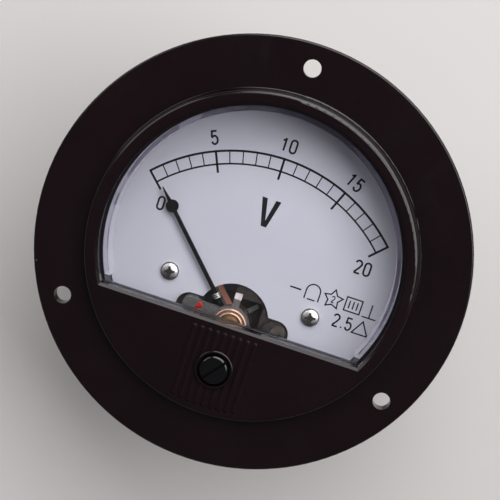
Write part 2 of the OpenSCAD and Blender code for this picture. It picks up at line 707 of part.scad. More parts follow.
module terminal_studs() {
    color([0.76, 0.6, 0.33]) both(stud_x) translate([0, -stud_y, 0]) {
        rod(stud_r, stud_end + stud_lead_in, base_top + 0.5);
        translate([0, 0, stud_end]) cylinder(r1 = stud_r - stud_lead_in, r2 = stud_r, h = stud_lead_in);
        rod(3.5, base_top + 0.5, base_top + 2);
    }
}
module stud_tags() {
    color([0.72, 0.72, 0.72]) both(stud_x) translate([0, -stud_y, 0]) difference() {
        union() {
            rod(3.7, base_top, base_top + 0.5);
            block(-0.9, 0.9, 0, 7.2, base_top, base_top + 0.5);
        }
        rod(stud_r, base_top - 1, base_top + 2);
        translate([0, 6.1, 0]) rod(0.45, base_top - 1, base_top + 2);
    }
}
back = -case_depth - 0.6;
module stud_ring(ro, z0, z1) { both(stud_x) translate([0, -stud_y, 0]) tube(ro, stud_r, z0, z1); }
module clamp_washers() { color([0.7, 0.7, 0.72]) stud_ring(4.5, back - 0.8, back); }
module nut(z0, z1) {
    translate([0, 0, z0]) difference() {
        intersection() {
            cylinder(r = 7/2/cos(30), h = z1 - z0, $fn = 6);
            union() {
                cylinder(r1 = 3.6, r2 = 4.1, h = 0.35);
                translate([0, 0, 0.35]) cylinder(r = 4.1, h = z1 - z0 - 0.7);
                translate([0, 0, z1 - z0 - 0.35]) cylinder(r1 = 4.1, r2 = 3.6, h = 0.35);
            }
        }
        translate([0, 0, -1]) cylinder(r = stud_r, h = z1 - z0 + 2);
    }
}
module clamp_nuts() { color([0.76, 0.6, 0.33]) both(stud_x) translate([0, -stud_y, 0]) nut(back - 3.4, back - 0.8); }
module solder_lugs() {
    z = back - 3.9;
    color([0.74, 0.74, 0.75]) both(stud_x) translate([0, -stud_y, 0]) rotate([0, 0, 180]) difference() {
        union() {
            rod(3.9, z, z + 0.5);
            block(-1.6, 1.6, 0, 11, z, z + 0.5);
            translate([0, 11, 0]) rod(1.6, z, z + 0.5);
        }
        rod(stud_r, z - 1, z + 2);
        translate([0, 10.6, 0]) rod(0.9, z - 1, z + 2);
    }
}
module flat_washers() { color([0.7, 0.7, 0.72]) stud_ring(4.5, back - 4.7, back - 3.9); }
module spring_washers() {
    z = back - 5.6;
    color([0.6, 0.6, 0.62]) both(stud_x) translate([0, -stud_y, 0]) difference() {
        tube(3.5, stud_r, z, z + 0.9);
        rotate([0, 0, 40]) block(1, 5, -0.25, 0.25, z - 1, z + 2);
    }
}
module terminal_nuts() { color([0.76, 0.6, 0.33]) both(stud_x) translate([0, -stud_y, 0]) nut(back - 8.2, back - 5.6); }
res_y = 9.4;
res_z = base_top + 2.6;
tag_hole_y = -stud_y + 6.1;
module multiplier_resistor() {
    color([0.55, 0.66, 0.6]) translate([0, res_y, res_z]) rotate([0, 90, 0]) {
        rod(1.9, -5.5, 5.5);
        rod(2.15, -5.5, -4.0);
        rod(2.15, 4.0, 5.5);
    }
}
module resistor_leads() {
    end = 11.4*cos(45);
    color([0.76, 0.74, 0.7]) {
        // to the left stud's tag
        wire([[-5.5, res_y, res_z], [-stud_x, res_y, res_z], [-stud_x, res_y, base_top - 1.2],
              [-stud_x, tag_hole_y, base_top - 1.2], [-stud_x, tag_hole_y, base_top + 1.0]], 0.35);
        // round the edge of the base to the rear spring tag
        wire([[5.5, res_y, res_z], [end, res_y, res_z], [end, res_y, base_low - 1.9],
              [end, end - axis_y, base_low - 1.9], [end, end - axis_y, base_low - 0.6]], 0.35);
    }
}
module front_lead() {
    lead_low = -12.6;                                                    // level stretch beside the iron ring
    lead_top = tag_top + 0.8;                                            // level stretch over the frame
    wire_y = tag_wire[1] - axis_y;
    color([0.03, 0.03, 0.03]) wire([[stud_x, tag_hole_y, base_top + 0.9], [stud_x, tag_hole_y, lead_low],
        [stud_x, wire_y, lead_low], [stud_x, wire_y, lead_top], [tag_wire[0], wire_y, lead_top],
        [tag_wire[0], wire_y, tag_top - 0.7]], 0.4);
}

front_bezel();
window();
zero_adjuster();
adjuster_clip();
rear_case();
case_screws();
dial_plate();
dial_screws();
dial_washers();
movement_frame();
front_bridge();
bridge_screws();
bearing_bush();
jewel_screw_front();
zero_lever();
hairspring_front();
pointer();
pointer_hub();
pivot_front();
balance_weights();
balance_arms();
coil_winding();
coil_former();
pivot_rear();
hairspring_rear();
spring_tag_rear();
magnet_core();
core_cap();
core_screws();
yoke_ring();
movement_screws();
movement_base();
rear_bridge();
rear_bridge_screws();
jewel_screw_rear();
lead_tag();
lead_tag_screw();
terminal_studs();
stud_tags();
clamp_washers();
clamp_nuts();
solder_lugs();
flat_washers();
spring_washers();
terminal_nuts();
multiplier_resistor();
resistor_leads();
front_lead();
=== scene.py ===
"""Looks of a round flush-mounting moving-coil panel meter, set on a plain pale floor.

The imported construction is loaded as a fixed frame. Each sub-assembly class gives its nodes their
real finishes and adds what is too fine for the construction: the dial's print, the paint that locks
the balance, the screw threads of the terminals. Lengths are in millimetres until they reach a mesh.
"""

from __future__ import annotations

import logging
import math
from dataclasses import dataclass, field
from enum import Enum
from typing import Callable, Iterable, Sequence

import bmesh
import bpy
from mathutils import Matrix, Vector


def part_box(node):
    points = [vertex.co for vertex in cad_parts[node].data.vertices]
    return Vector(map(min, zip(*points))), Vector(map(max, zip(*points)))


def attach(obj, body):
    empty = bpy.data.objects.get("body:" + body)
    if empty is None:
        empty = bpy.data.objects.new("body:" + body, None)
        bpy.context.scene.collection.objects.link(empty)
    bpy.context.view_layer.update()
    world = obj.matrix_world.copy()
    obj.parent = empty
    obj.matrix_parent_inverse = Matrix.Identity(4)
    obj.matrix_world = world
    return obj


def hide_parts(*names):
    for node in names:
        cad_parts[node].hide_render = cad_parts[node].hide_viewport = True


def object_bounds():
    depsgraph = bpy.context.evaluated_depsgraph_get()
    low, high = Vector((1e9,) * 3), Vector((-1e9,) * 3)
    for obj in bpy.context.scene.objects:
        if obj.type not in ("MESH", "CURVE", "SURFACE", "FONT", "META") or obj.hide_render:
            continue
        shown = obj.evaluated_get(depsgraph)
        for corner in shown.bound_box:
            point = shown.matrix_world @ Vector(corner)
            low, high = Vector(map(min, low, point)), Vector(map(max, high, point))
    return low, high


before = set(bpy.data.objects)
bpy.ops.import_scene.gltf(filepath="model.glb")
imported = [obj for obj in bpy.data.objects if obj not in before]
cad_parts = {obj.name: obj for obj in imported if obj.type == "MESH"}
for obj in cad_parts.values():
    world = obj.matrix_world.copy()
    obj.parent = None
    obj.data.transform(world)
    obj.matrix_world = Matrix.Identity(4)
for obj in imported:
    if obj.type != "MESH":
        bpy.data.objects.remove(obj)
CAD_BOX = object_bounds()

LOG = logging.getLogger("panel_meter")
MM = 0.001
WAVE_PERIOD = 0.314  # length after which the bands of a wave texture of scale 1 repeat
COAT_ROUGHNESS = 0.06
MITRE_LIMIT = 0.35  # least cosine that a printed line's corner is drawn out by

Point = tuple[float, float]
Sockets = dict[str | int, bpy.types.NodeSocket]
FacePick = Callable[[Vector, Vector], bool]


# ------------------------------------------------------------------ colour and nodes
def linear(colour: str) -> tuple[float, float, float, float]:
    """Turns an sRGB hex colour into the linear values that shaders take.

    Args:
        colour: six hex digits after a hash, such as "#c0c0c0".

    Returns:
        Linear red, green and blue, and 1 for full opacity.
    """
    def one(text: str) -> float:
        """Turns one pair of hex digits into a linear value."""
        value = int(text, 16) / 255
        return value / 12.92 if value <= 0.04045 else ((value + 0.055) / 1.055) ** 2.4

    return one(colour[1:3]), one(colour[3:5]), one(colour[5:7]), 1.0


def add_node(
    tree: bpy.types.NodeTree, kind: str, settings: dict | None = None, links: Sockets | None = None
) -> bpy.types.Node:
    """Adds a shader node with its settings and its incoming links.

    Args:
        tree: the node tree that gets the node.
        kind: Blender's name of the node's type.
        settings: values by the name of a property, or by the name or number of an input.
        links: output sockets by the name or number of the input that they feed.

    Returns:
        The new node.
    """
    node = tree.nodes.new(kind)
    for key, value in (settings or {}).items():
        if isinstance(key, str) and hasattr(node, key):
            setattr(node, key, value)
        else:
            node.inputs[key].default_value = value
    for key, source in (links or {}).items():
        tree.links.new(source, node.inputs[key])
    return node


class Surface(Enum):
    """How a surface was made, which sets the direction of its fine texture."""

    MOULDED = "moulded"  # even, from a polished or eroded tool
    BRUSHED = "brushed"  # fine lines along X
    TURNED = "turned"  # fine rings round an axis along Z
    WOUND = "wound"  # turns of wire laid side by side along X


@dataclass(frozen=True)
class Finish:
    """A real material with the finish that it has on this object.

    Attributes:
        name: the material's name.
        base: its main colour, as sRGB hex.
        tint: the colour that it drifts towards in patches.
        drift: how far the patches go towards the tint, from 0 to 1.
        patch_mm: width of those patches.
        metallic: 1 for bare metal, 0 for the rest.
        roughness: mean roughness.
        spread: how far roughness goes up and down.
        grain_mm: width of the fine texture's grain, lines or rings.
        relief_mm: depth of that texture.
        surface: how the surface was made.
        ior: refractive index, for what isn't metal.
        coat: weight of a clear lacquer or polish.
        centre_mm: axis that turned rings go round. A pair set left and right of the middle shares it.
    """

    name: str
    base: str
    tint: str
    drift: float = 0.5
    patch_mm: float = 6.0
    metallic: float = 0.0
    roughness: float = 0.4
    spread: float = 0.08
    grain_mm: float = 0.4
    relief_mm: float = 0.004
    surface: Surface = Surface.MOULDED
    ior: float = 1.5
    coat: float = 0.0
    centre_mm: Point = (0.0, 0.0)

    def place(self, tree: bpy.types.NodeTree) -> bpy.types.NodeSocket:
        """Gives the position on the object, in millimetres.

        Args:
            tree: the material's node tree.

        Returns:
            A vector socket.
        """
        spot = add_node(tree, "ShaderNodeTexCoord")
        return add_node(
            tree,
            "ShaderNodeVectorMath",
            {"operation": "SCALE", "Scale": 1 / MM},
            {0: spot.outputs["Object"]},
        ).outputs[0]

    def grain(self, tree: bpy.types.NodeTree, place: bpy.types.NodeSocket) -> bpy.types.NodeSocket:
        """Draws the fine texture that the way of making leaves.

        Args:
            tree: the material's node tree.
            place: position on the object, in millimetres.

        Returns:
            A socket with values from 0 to 1.
        """
        if self.surface is Surface.TURNED:
            parts = add_node(tree, "ShaderNodeSeparateXYZ", links={0: place})
            across = add_node(tree, "ShaderNodeMath", {"operation": "ABSOLUTE"}, {0: parts.outputs["X"]})
            centred = add_node(
                tree,
                "ShaderNodeVectorMath",
                {"operation": "SUBTRACT", 1: (self.centre_mm[0], self.centre_mm[1], 0.0)},
                {
                    0: add_node(
                        tree,
                        "ShaderNodeCombineXYZ",
                        links={"X": across.outputs[0], "Y": parts.outputs["Y"]},
                    ).outputs[0]
                },
            )
            radius = add_node(tree, "ShaderNodeVectorMath", {"operation": "LENGTH"}, {0: centred.outputs[0]})
            rings = add_node(
                tree, "ShaderNodeCombineXYZ", links={"X": radius.outputs["Value"], "Z": parts.outputs["Z"]}
            )
            return add_node(
                tree,
                "ShaderNodeTexNoise",
                {"Scale": 1 / self.grain_mm, "Detail": 2.0, "Roughness": 0.6},
                {"Vector": rings.outputs[0]},
            ).outputs["Fac"]
        if self.surface is Surface.WOUND:
            return add_node(
                tree,
                "ShaderNodeTexWave",
                {
                    "bands_direction": "DIAGONAL",
                    "Scale": WAVE_PERIOD / self.grain_mm,
                    "Distortion": 0.6,
                    "Detail": 2.0,
                    "Detail Scale": 0.4,
                },
                {"Vector": place},
            ).outputs["Fac"]
        stretch = (0.04, 1.0, 1.0) if self.surface is Surface.BRUSHED else (1.0, 1.0, 1.0)
        laid = add_node(tree, "ShaderNodeMapping", {"Scale": stretch}, {"Vector": place})
        return add_node(
            tree,
            "ShaderNodeTexNoise",
            {"Scale": 1 / self.grain_mm, "Detail": 3.0, "Roughness": 0.65},
            {"Vector": laid.outputs[0]},
        ).outputs["Fac"]

    def colour(self, tree: bpy.types.NodeTree, place: bpy.types.NodeSocket) -> bpy.types.NodeSocket:
        """Draws the base colour with its patches of tint.

        Args:
            tree: the material's node tree.
            place: position on the object, in millimetres.

        Returns:
            A colour socket.
        """
        patches = add_node(
            tree,
            "ShaderNodeTexNoise",
            {"Scale": 1 / self.patch_mm, "Detail": 4.0, "Roughness": 0.6},
            {"Vector": place},
        )
        amount = add_node(
            tree,
            "ShaderNodeMapRange",
            {"From Min": 0.35, "From Max": 0.7, "To Min": 0.0, "To Max": self.drift},
            {"Value": patches.outputs["Fac"]},
        )
        return add_node(
            tree,
            "ShaderNodeMix",
            {"data_type": "RGBA", "A": linear(self.base), "B": linear(self.tint)},
            {"Factor": amount.outputs["Result"]},
        ).outputs["Result"]

    def relief(self, tree: bpy.types.NodeTree, height: bpy.types.NodeSocket) -> bpy.types.NodeSocket:
        """Lets the surface rise and fall by the finish's depth.

        Args:
            tree: the material's node tree.
            height: a socket with values from 0 to 1.

        Returns:
            A normal socket.
        """
        return add_node(
            tree,
            "ShaderNodeBump",
            {"Strength": 1.0, "Distance": self.relief_mm * MM},
            {"Height": height},
        ).outputs["Normal"]

    def shader(self, tree: bpy.types.NodeTree) -> bpy.types.Node:
        """Builds the surface shader with its texture.

        Args:
            tree: the material's node tree.

        Returns:
            The node that feeds the material's surface.
        """
        place = self.place(tree)
        grain = self.grain(tree, place)
        rough = add_node(
            tree,
            "ShaderNodeMapRange",
            {
                "From Min": 0.25,
                "From Max": 0.75,
                "To Min": max(self.roughness - self.spread, 0.02),
                "To Max": min(self.roughness + self.spread, 1.0),
            },
            {"Value": grain},
        )
        return add_node(
            tree,
            "ShaderNodeBsdfPrincipled",
            {
                "Metallic": self.metallic,
                "IOR": self.ior,
                "Coat Weight": self.coat,
                "Coat Roughness": COAT_ROUGHNESS,
            },
            {
                "Base Color": self.colour(tree, place),
                "Roughness": rough.outputs["Result"],
                "Normal": self.relief(tree, grain),
            },
        )

    def material(self) -> bpy.types.Material:
        """Gives this finish's material, made once.

        Returns:
            The material.
        """
        made = bpy.data.materials.get(self.name)
        if made is None:
            made = bpy.data.materials.new(self.name)
            made.use_nodes = True
            tree = made.node_tree
            tree.nodes.clear()
            add_node(tree, "ShaderNodeOutputMaterial", links={"Surface": self.shader(tree).outputs[0]})
        return made


@dataclass(frozen=True)
class PolishedMoulding(Finish):
    """A glossy dark moulding with sparse specks of dust and faint handling marks.

    Attributes:
        speck: colour of the dust.
        speck_mm: width of a speck.
        speck_gap_mm: mean distance between the places where one may lie.
        speck_share: how many of those places hold one, from 0 to 1.
        smear_mm: width of the handling marks.
        smear: how much rougher they are.
    """

    speck: str = "#b9b4b2"
    speck_mm: float = 0.16
    speck_gap_mm: float = 3.5
    speck_share: float = 0.05
    smear_mm: float = 14.0
    smear: float = 0.10

    def specks(self, tree: bpy.types.NodeTree, place: bpy.types.NodeSocket) -> bpy.types.NodeSocket:
        """Marks the places where a speck of dust lies.

        Args:
            tree: the material's node tree.
            place: position on the object, in millimetres.

        Returns:
            A socket that is 1 on a speck and 0 elsewhere.
        """
        cells = add_node(tree, "ShaderNodeTexVoronoi", {"Scale": 1 / self.speck_gap_mm}, {"Vector": place})
        near = add_node(
            tree,
            "ShaderNodeMath",
            {"operation": "LESS_THAN", 1: self.speck_mm / 2 / self.speck_gap_mm},
            {0: cells.outputs["Distance"]},
        )
        pick = add_node(tree, "ShaderNodeSeparateColor", links={0: cells.outputs["Color"]})
        chosen = add_node(
            tree, "ShaderNodeMath", {"operation": "LESS_THAN", 1: self.speck_share}, {0: pick.outputs[0]}
        )
        return add_node(
            tree, "ShaderNodeMath", {"operation": "MULTIPLY"}, {0: near.outputs[0], 1: chosen.outputs[0]}
        ).outputs[0]

    def shader(self, tree: bpy.types.NodeTree) -> bpy.types.Node:
        """Builds the moulding's shader and lays dust and handling marks over it.

        Args:
            tree: the material's node tree.

        Returns:
            The Principled node.
        """
        skin = super().shader(tree)
        place = self.place(tree)
        speck = self.specks(tree, place)
        colour = add_node(
            tree,
            "ShaderNodeMix",
            {"data_type": "RGBA", "B": linear(self.speck)},
            {"Factor": speck, "A": skin.inputs["Base Color"].links[0].from_socket},
        )
        tree.links.new(colour.outputs["Result"], skin.inputs["Base Color"])
        smears = add_node(
            tree,
            "ShaderNodeTexNoise",
            {"Scale": 1 / self.smear_mm, "Detail": 5.0, "Roughness": 0.55, "Distortion": 0.7},
            {"Vector": place},
        )
        smeared = add_node(
            tree,
            "ShaderNodeMapRange",
            {"From Min": 0.48, "From Max": 0.72, "To Min": 0.0, "To Max": self.smear},
            {"Value": smears.outputs["Fac"]},
        )
        rough = add_node(
            tree,
            "ShaderNodeMath",
            {"operation": "ADD"},
            {0: skin.inputs["Roughness"].links[0].from_socket, 1: smeared.outputs["Result"]},
        )
        tree.links.new(rough.outputs[0], skin.inputs["Roughness"])
        return skin


@dataclass(frozen=True)
class ClearAcrylic(Finish):
    """Clear cast acrylic. Light from the lamps goes straight through it, so what is behind stays lit.

    Attributes:
        clarity: share of the light that goes through, where the rest is scattered as white.
    """

    clarity: float = 1.0

    def shader(self, tree: bpy.types.NodeTree) -> bpy.types.Node:
        """Builds the clear shader, which lets lamp light and scattered light pass straight through.

        Args:
            tree: the material's node tree.

        Returns:
            The node that mixes the acrylic with what passes.
        """
        waviness = add_node(
            tree,
            "ShaderNodeTexNoise",
            {"Scale": 1 / self.patch_mm, "Detail": 1.0},
            {"Vector": self.place(tree)},
        )
        clear = add_node(
            tree,
            "ShaderNodeBsdfPrincipled",
            {
                "Base Color": linear(self.base),
                "Roughness": self.roughness,
                "IOR": self.ior,
                "Transmission Weight": self.clarity,
            },
            {"Normal": self.relief(tree, waviness.outputs["Fac"])},
        )
        lamp_light = add_node(tree, "ShaderNodeBsdfTransparent", {"Color": linear(self.tint)})
        rays = add_node(tree, "ShaderNodeLightPath")
        passing = add_node(
            tree,
            "ShaderNodeMath",
            {"operation": "MAXIMUM"},
            {0: rays.outputs["Is Shadow Ray"], 1: rays.outputs["Is Diffuse Ray"]},
        )
        return add_node(
            tree,
            "ShaderNodeMixShader",
            links={0: passing.outputs[0], 1: clear.outputs[0], 2: lamp_light.outputs[0]},
        )


# ------------------------------------------------------------------ the object's finishes
# Phenolic moulding from a polished tool: near black and glossy, with a faint orange peel.
BEZEL_PHENOLIC = PolishedMoulding(
    "polished_black_phenolic", "#13080b", "#190d10", patch_mm=18, roughness=0.14, spread=0.02,
    grain_mm=2.2, relief_mm=0.0005, ior=1.46,
)
# The same moulding on the ribs, where the buffing wheel doesn't reach: a soft sheen.
RIB_PHENOLIC = Finish(
    "unbuffed_black_phenolic", "#170d10", "#1c1215", patch_mm=3, roughness=0.36, spread=0.06,
    grain_mm=0.3, relief_mm=0.002, ior=1.2,
)
# The same moulding on the small adjuster, with fewer specks: it is wiped each time it is turned.
KNOB_PHENOLIC = PolishedMoulding(
    "glossy_black_phenolic", "#060506", "#0d0b0c", patch_mm=4, roughness=0.12, spread=0.03,
    grain_mm=0.5, relief_mm=0.002, ior=1.54, speck_share=0.02, smear=0.05,
)
# ABS moulding from an eroded tool: dark and even, with a satin grain that breaks up reflections.
CASE_ABS = Finish(
    "satin_black_abs", "#151416", "#1b1a1c", patch_mm=14, roughness=0.42, spread=0.08,
    grain_mm=0.35, relief_mm=0.01,
)
# Cast acrylic: colourless, with a waviness that only its reflections show.
PANE_ACRYLIC = ClearAcrylic(
    "clear_cast_acrylic", "#fdfefe", "#f4f6f8", patch_mm=12, roughness=0.0, relief_mm=0.001, ior=1.49
)
# The same acrylic as moulded on the skirt: its wall is matt, so that it glows softly at the dial's rim.
SKIRT_ACRYLIC = ClearAcrylic(
    "matt_moulded_acrylic", "#f9f6fc", "#f1eef6", patch_mm=5, roughness=0.42, relief_mm=0.004, ior=1.49,
    clarity=0.4,
)
# The pane's edge where it is cemented to the bezel: the black shows through as a smoky blue grey.
CEMENTED_EDGE = Finish(
    "cemented_acrylic_edge", "#2a2b31", "#202126", patch_mm=4, roughness=0.5, spread=0.05,
    grain_mm=0.6, relief_mm=0.001, ior=1.2,
)
# Aluminium sheet sprayed satin white: cool and even, with the faintest peel of the spray.
DIAL_PAINT = Finish(
    "satin_white_enamel", "#e4dfea", "#ddd8e4", patch_mm=9, roughness=0.46, spread=0.05,
    grain_mm=0.5, relief_mm=0.0015,
)
# Screen ink: nearly black, thin enough to take a little of the paint's sheen.
DIAL_INK = Finish(
    "black_screen_ink", "#0c0a0e", "#141217", patch_mm=1.2, roughness=0.75, spread=0.1,
    grain_mm=0.12, relief_mm=0.002, ior=1.3,
)
# Nickel plate on small screws and washers: bright and warm grey, with light handling scratches.
NICKEL = Finish(
    "bright_nickel_plate", "#cfccc6", "#b3b0ab", patch_mm=1.2, metallic=1, roughness=0.2, spread=0.1,
    grain_mm=0.12, relief_mm=0.003,
)
# The same plate on a blanked and tumbled lever: smooth, so that its bent end flashes.
NICKEL_SMOOTH = Finish(
    "smooth_nickel_plate", "#989090", "#837b7a", patch_mm=1.5, metallic=1, roughness=0.42, spread=0.05,
    grain_mm=0.3, relief_mm=0.0008,
)
# The same plate inside the screws' recesses, made darker: painted shade standing in for the recesses'
# shadow.
NICKEL_PAINTED_RECESS_SHADE = Finish(
    "nickel_plate_painted_recess_shade", "#69615c", "#4e4844", patch_mm=0.5, metallic=1, roughness=0.38, spread=0.1,
    grain_mm=0.15, relief_mm=0.003,
)
# The same plate on the dial screws' turned heads, with the lathe's rings under it.
NICKEL_TURNED = Finish(
    "turned_nickel_plate", "#dedbd8", "#bcb8b6", patch_mm=0.8, metallic=1, roughness=0.31, spread=0.08,
    grain_mm=0.2, relief_mm=0.0015, surface=Surface.TURNED, centre_mm=(15.5, -9.6),
)
# Zinc plate on steel: duller and bluer than nickel, clouded by its passivation.
ZINC = Finish(
    "dull_zinc_plate", "#a3a5a8", "#8b8c8c", patch_mm=1.5, metallic=1, roughness=0.36, spread=0.1,
    grain_mm=0.2, relief_mm=0.004,
)
# Spring steel strip: dark grey, with the rolling lines left on it.
SPRING_STEEL = Finish(
    "rolled_spring_steel", "#77787b", "#5d5d60", patch_mm=2, metallic=1, roughness=0.34, spread=0.1,
    grain_mm=0.1, relief_mm=0.003, surface=Surface.BRUSHED,
)
# Phenolic with wood filler, as moulded: a warm dark brown, dull, with a visible fleck.
FRAME_PHENOLIC = Finish(
    "brown_filled_phenolic", "#2c2422", "#463a36", drift=0.8, patch_mm=0.7, roughness=0.5, spread=0.12,
    grain_mm=0.25, relief_mm=0.012,
)
# Zinc alloy pressing, tumbled: mid grey and speckled, with soft broad reflections.
BRIDGE_ALLOY = Finish(
    "tumbled_grey_alloy", "#85827f", "#64615f", drift=0.9, patch_mm=0.5, metallic=0.85, roughness=0.46,
    spread=0.12, grain_mm=0.22, relief_mm=0.014,
)
# Satin black lacquer on the thin aluminium pointer: it hides the metal and takes a soft highlight.
POINTER_LACQUER = Finish(
    "satin_black_lacquer", "#0c090b", "#141012", patch_mm=1.5, roughness=0.26, spread=0.06,
    grain_mm=0.15, relief_mm=0.003,
)
# Copper alloy with the rim rolled over and burnished: rose gold, with sharp bright bands.
BUSH_COPPER = Finish(
    "burnished_copper_alloy", "#e6c2ac", "#d4a588", drift=0.4, patch_mm=1.6, metallic=1, roughness=0.3,
    spread=0.05, grain_mm=0.25, relief_mm=0.0012, surface=Surface.TURNED, centre_mm=(0.0, -15.8),
)
# Turned brass: yellow gold, with the tool's rings.
BRASS = Finish(
    "turned_brass", "#f0c680", "#d8a562", patch_mm=0.9, metallic=1, roughness=0.38, spread=0.08,
    grain_mm=0.2, relief_mm=0.0015, surface=Surface.TURNED, centre_mm=(0.0, -15.8),
)
# The same brass on the two terminals, dulled by air.
TERMINAL_BRASS = Finish(
    "dulled_turned_brass", "#b9904f", "#8f6b3a", patch_mm=3, metallic=1, roughness=0.32, spread=0.09,
    grain_mm=0.2, relief_mm=0.006, surface=Surface.TURNED, centre_mm=(15.0, -2.0),
)
# Phosphor bronze hair strip: brownish gold and fairly bright.
HAIR_BRONZE = Finish(
    "rolled_phosphor_bronze", "#8a7256", "#6c563f", patch_mm=1, metallic=1, roughness=0.28, spread=0.06,
    grain_mm=0.1, relief_mm=0.002,
)
# Ground hard steel: bright and neutral, with rings from the stone.
PIVOT_STEEL = Finish(
    "ground_hard_steel", "#b5b5b8", "#98989b", patch_mm=0.8, metallic=1, roughness=0.22, spread=0.06,
    grain_mm=0.08, relief_mm=0.002, surface=Surface.TURNED, centre_mm=(0.0, -15.8),
)
# Enamelled copper wire: a reddish brown whose turns catch the light as fine lines.
# The turns are drawn 0.24 mm apart, twice their real spacing, so that they show.
COIL_WIRE = Finish(
    "enamelled_copper_wire", "#d58a70", "#e0a68e", patch_mm=0.6, metallic=0.25, roughness=0.4, spread=0.1,
    grain_mm=0.24, relief_mm=0.03, surface=Surface.WOUND, coat=0.5,
)
# Tinned brass tag gone dull: a brownish grey.
DULL_TIN = Finish(
    "dulled_tin_plate", "#7b716b", "#5f5650", drift=0.8, patch_mm=0.8, metallic=0.8, roughness=0.45,
    spread=0.1, grain_mm=0.2, relief_mm=0.004,
)
# Thin bare aluminium: pale grey with rolling lines.
BARE_ALUMINIUM = Finish(
    "rolled_bare_aluminium", "#c4c5c8", "#acadb0", patch_mm=2, metallic=1, roughness=0.33, spread=0.08,
    grain_mm=0.12, relief_mm=0.003, surface=Surface.BRUSHED,
)
# Cast magnet alloy, ground flat: dark grey and slightly pitted.
MAGNET_ALLOY = Finish(
    "ground_magnet_alloy", "#6c6c6e", "#525254", patch_mm=1.4, metallic=1, roughness=0.4, spread=0.1,
    grain_mm=0.3, relief_mm=0.01,
)
# Soft iron ring under a dull plate: mid grey, with turning marks.
YOKE_IRON = Finish(
    "plated_soft_iron", "#8b8c8e", "#737476", patch_mm=3, metallic=1, roughness=0.38, spread=0.09,
    grain_mm=0.22, relief_mm=0.006, surface=Surface.TURNED, centre_mm=(0.0, -15.8),
)
# Tinned copper wire and solder: silvery and slightly lumpy.
TINNED_WIRE = Finish(
    "tinned_copper_wire", "#c9c6bf", "#a19d95", patch_mm=0.6, metallic=1, roughness=0.26, spread=0.12,
    grain_mm=0.25, relief_mm=0.02,
)
# Lacquered ceramic rod: a pale green-grey with a soft gloss.
RESISTOR_LACQUER = Finish(
    "lacquered_ceramic", "#8ea89c", "#7b958a", patch_mm=2, roughness=0.3, spread=0.08,
    grain_mm=0.5, relief_mm=0.01, coat=0.3,
)
# Extruded sleeving: dull black, with a slight bloom.
SLEEVING = Finish(
    "extruded_black_sleeving", "#161516", "#232223", patch_mm=2, roughness=0.6, spread=0.1,
    grain_mm=0.3, relief_mm=0.006,
)
# Cellulose paint dabbed on by hand: a full red, wet-looking and slightly domed.
SEAL_PAINT = Finish(
    "red_cellulose_paint", "#c8201c", "#9c1410", patch_mm=0.5, roughness=0.28, spread=0.08,
    grain_mm=0.3, relief_mm=0.02, coat=0.4,
)
# Matt studio board: pale and even.
STUDIO_BOARD = Finish(
    "matt_pale_board", "#e3dfdd", "#dfdbd9", patch_mm=160, roughness=0.85, spread=0.05,
    grain_mm=2.0, relief_mm=0.01,
)


# ------------------------------------------------------------------ mesh helpers
def new_piece(name: str, body: bmesh.types.BMesh, finish: Finish, smooth: bool = False) -> bpy.types.Object:
    """Turns a finished mesh into a piece of the scene, in metres.

    Args:
        name: the piece's name.
        body: its mesh in millimetres, which is freed.
        finish: what it is made of.
        smooth: True to shade its faces as one curved surface.

    Returns:
        The new object.
    """
    bmesh.ops.scale(body, vec=(MM, MM, MM), verts=body.verts)
    bmesh.ops.recalc_face_normals(body, faces=body.faces)
    mesh = bpy.data.meshes.new(name)
    body.to_mesh(mesh)
    body.free()
    mesh.polygons.foreach_set("use_smooth", [smooth] * len(mesh.polygons))
    mesh.materials.append(finish.material())
    piece = bpy.data.objects.new(name, mesh)
    bpy.context.scene.collection.objects.link(piece)
    return piece


def ring(
    body: bmesh.types.BMesh, middle: Point, height: float, reach: Callable[[float], float], spokes: int
) -> list[bmesh.types.BMVert]:
    """Adds a closed ring of points round an upright axis.

    Args:
        body: the mesh that gets them.
        middle: where the axis is.
        height: height of the ring.
        reach: gives the ring's radius for an angle.
        spokes: number of points.

    Returns:
        The points, anticlockwise.
    """
    made = []
    for k in range(spokes):
        a = math.tau * k / spokes
        x, y = middle[0] + reach(a) * math.cos(a), middle[1] + reach(a) * math.sin(a)
        made.append(body.verts.new((x, y, height)))
    return made


def join(body: bmesh.types.BMesh, loops: Sequence[Sequence[bmesh.types.BMVert]]) -> None:
    """Joins each ring of points to the next one with faces.

    Args:
        body: the mesh that gets them.
        loops: rings of as many points each, in order.
    """
    for near, far in zip(loops, loops[1:]):
        for k in range(len(near)):
            j = (k + 1) % len(near)
            body.faces.new((near[k], near[j], far[j], far[k]))


def turned(point: Point, degrees: float) -> Point:
    """Turns a point about the origin.

    Args:
        point: the point.
        degrees: how far, anticlockwise.

    Returns:
        The new point.
    """
    a = math.radians(degrees)
    x, y = point
    return x * math.cos(a) - y * math.sin(a), x * math.sin(a) + y * math.cos(a)


def arc(centre: Point, rx: float, ry: float, start: float, end: float, steps: int = 24) -> list[Point]:
    """Gives points along an ellipse's arc.

    Args:
        centre: middle of the ellipse.
        rx: radius along X.
        ry: radius along Y.
        start: first angle in degrees, anticlockwise from +X.
        end: last angle in degrees.
        steps: number of stretches.

    Returns:
        The points, first to last.
    """
    angles = (math.radians(start + (end - start) * i / steps) for i in range(steps + 1))
    return [(centre[0] + rx * math.cos(a), centre[1] + ry * math.sin(a)) for a in angles]


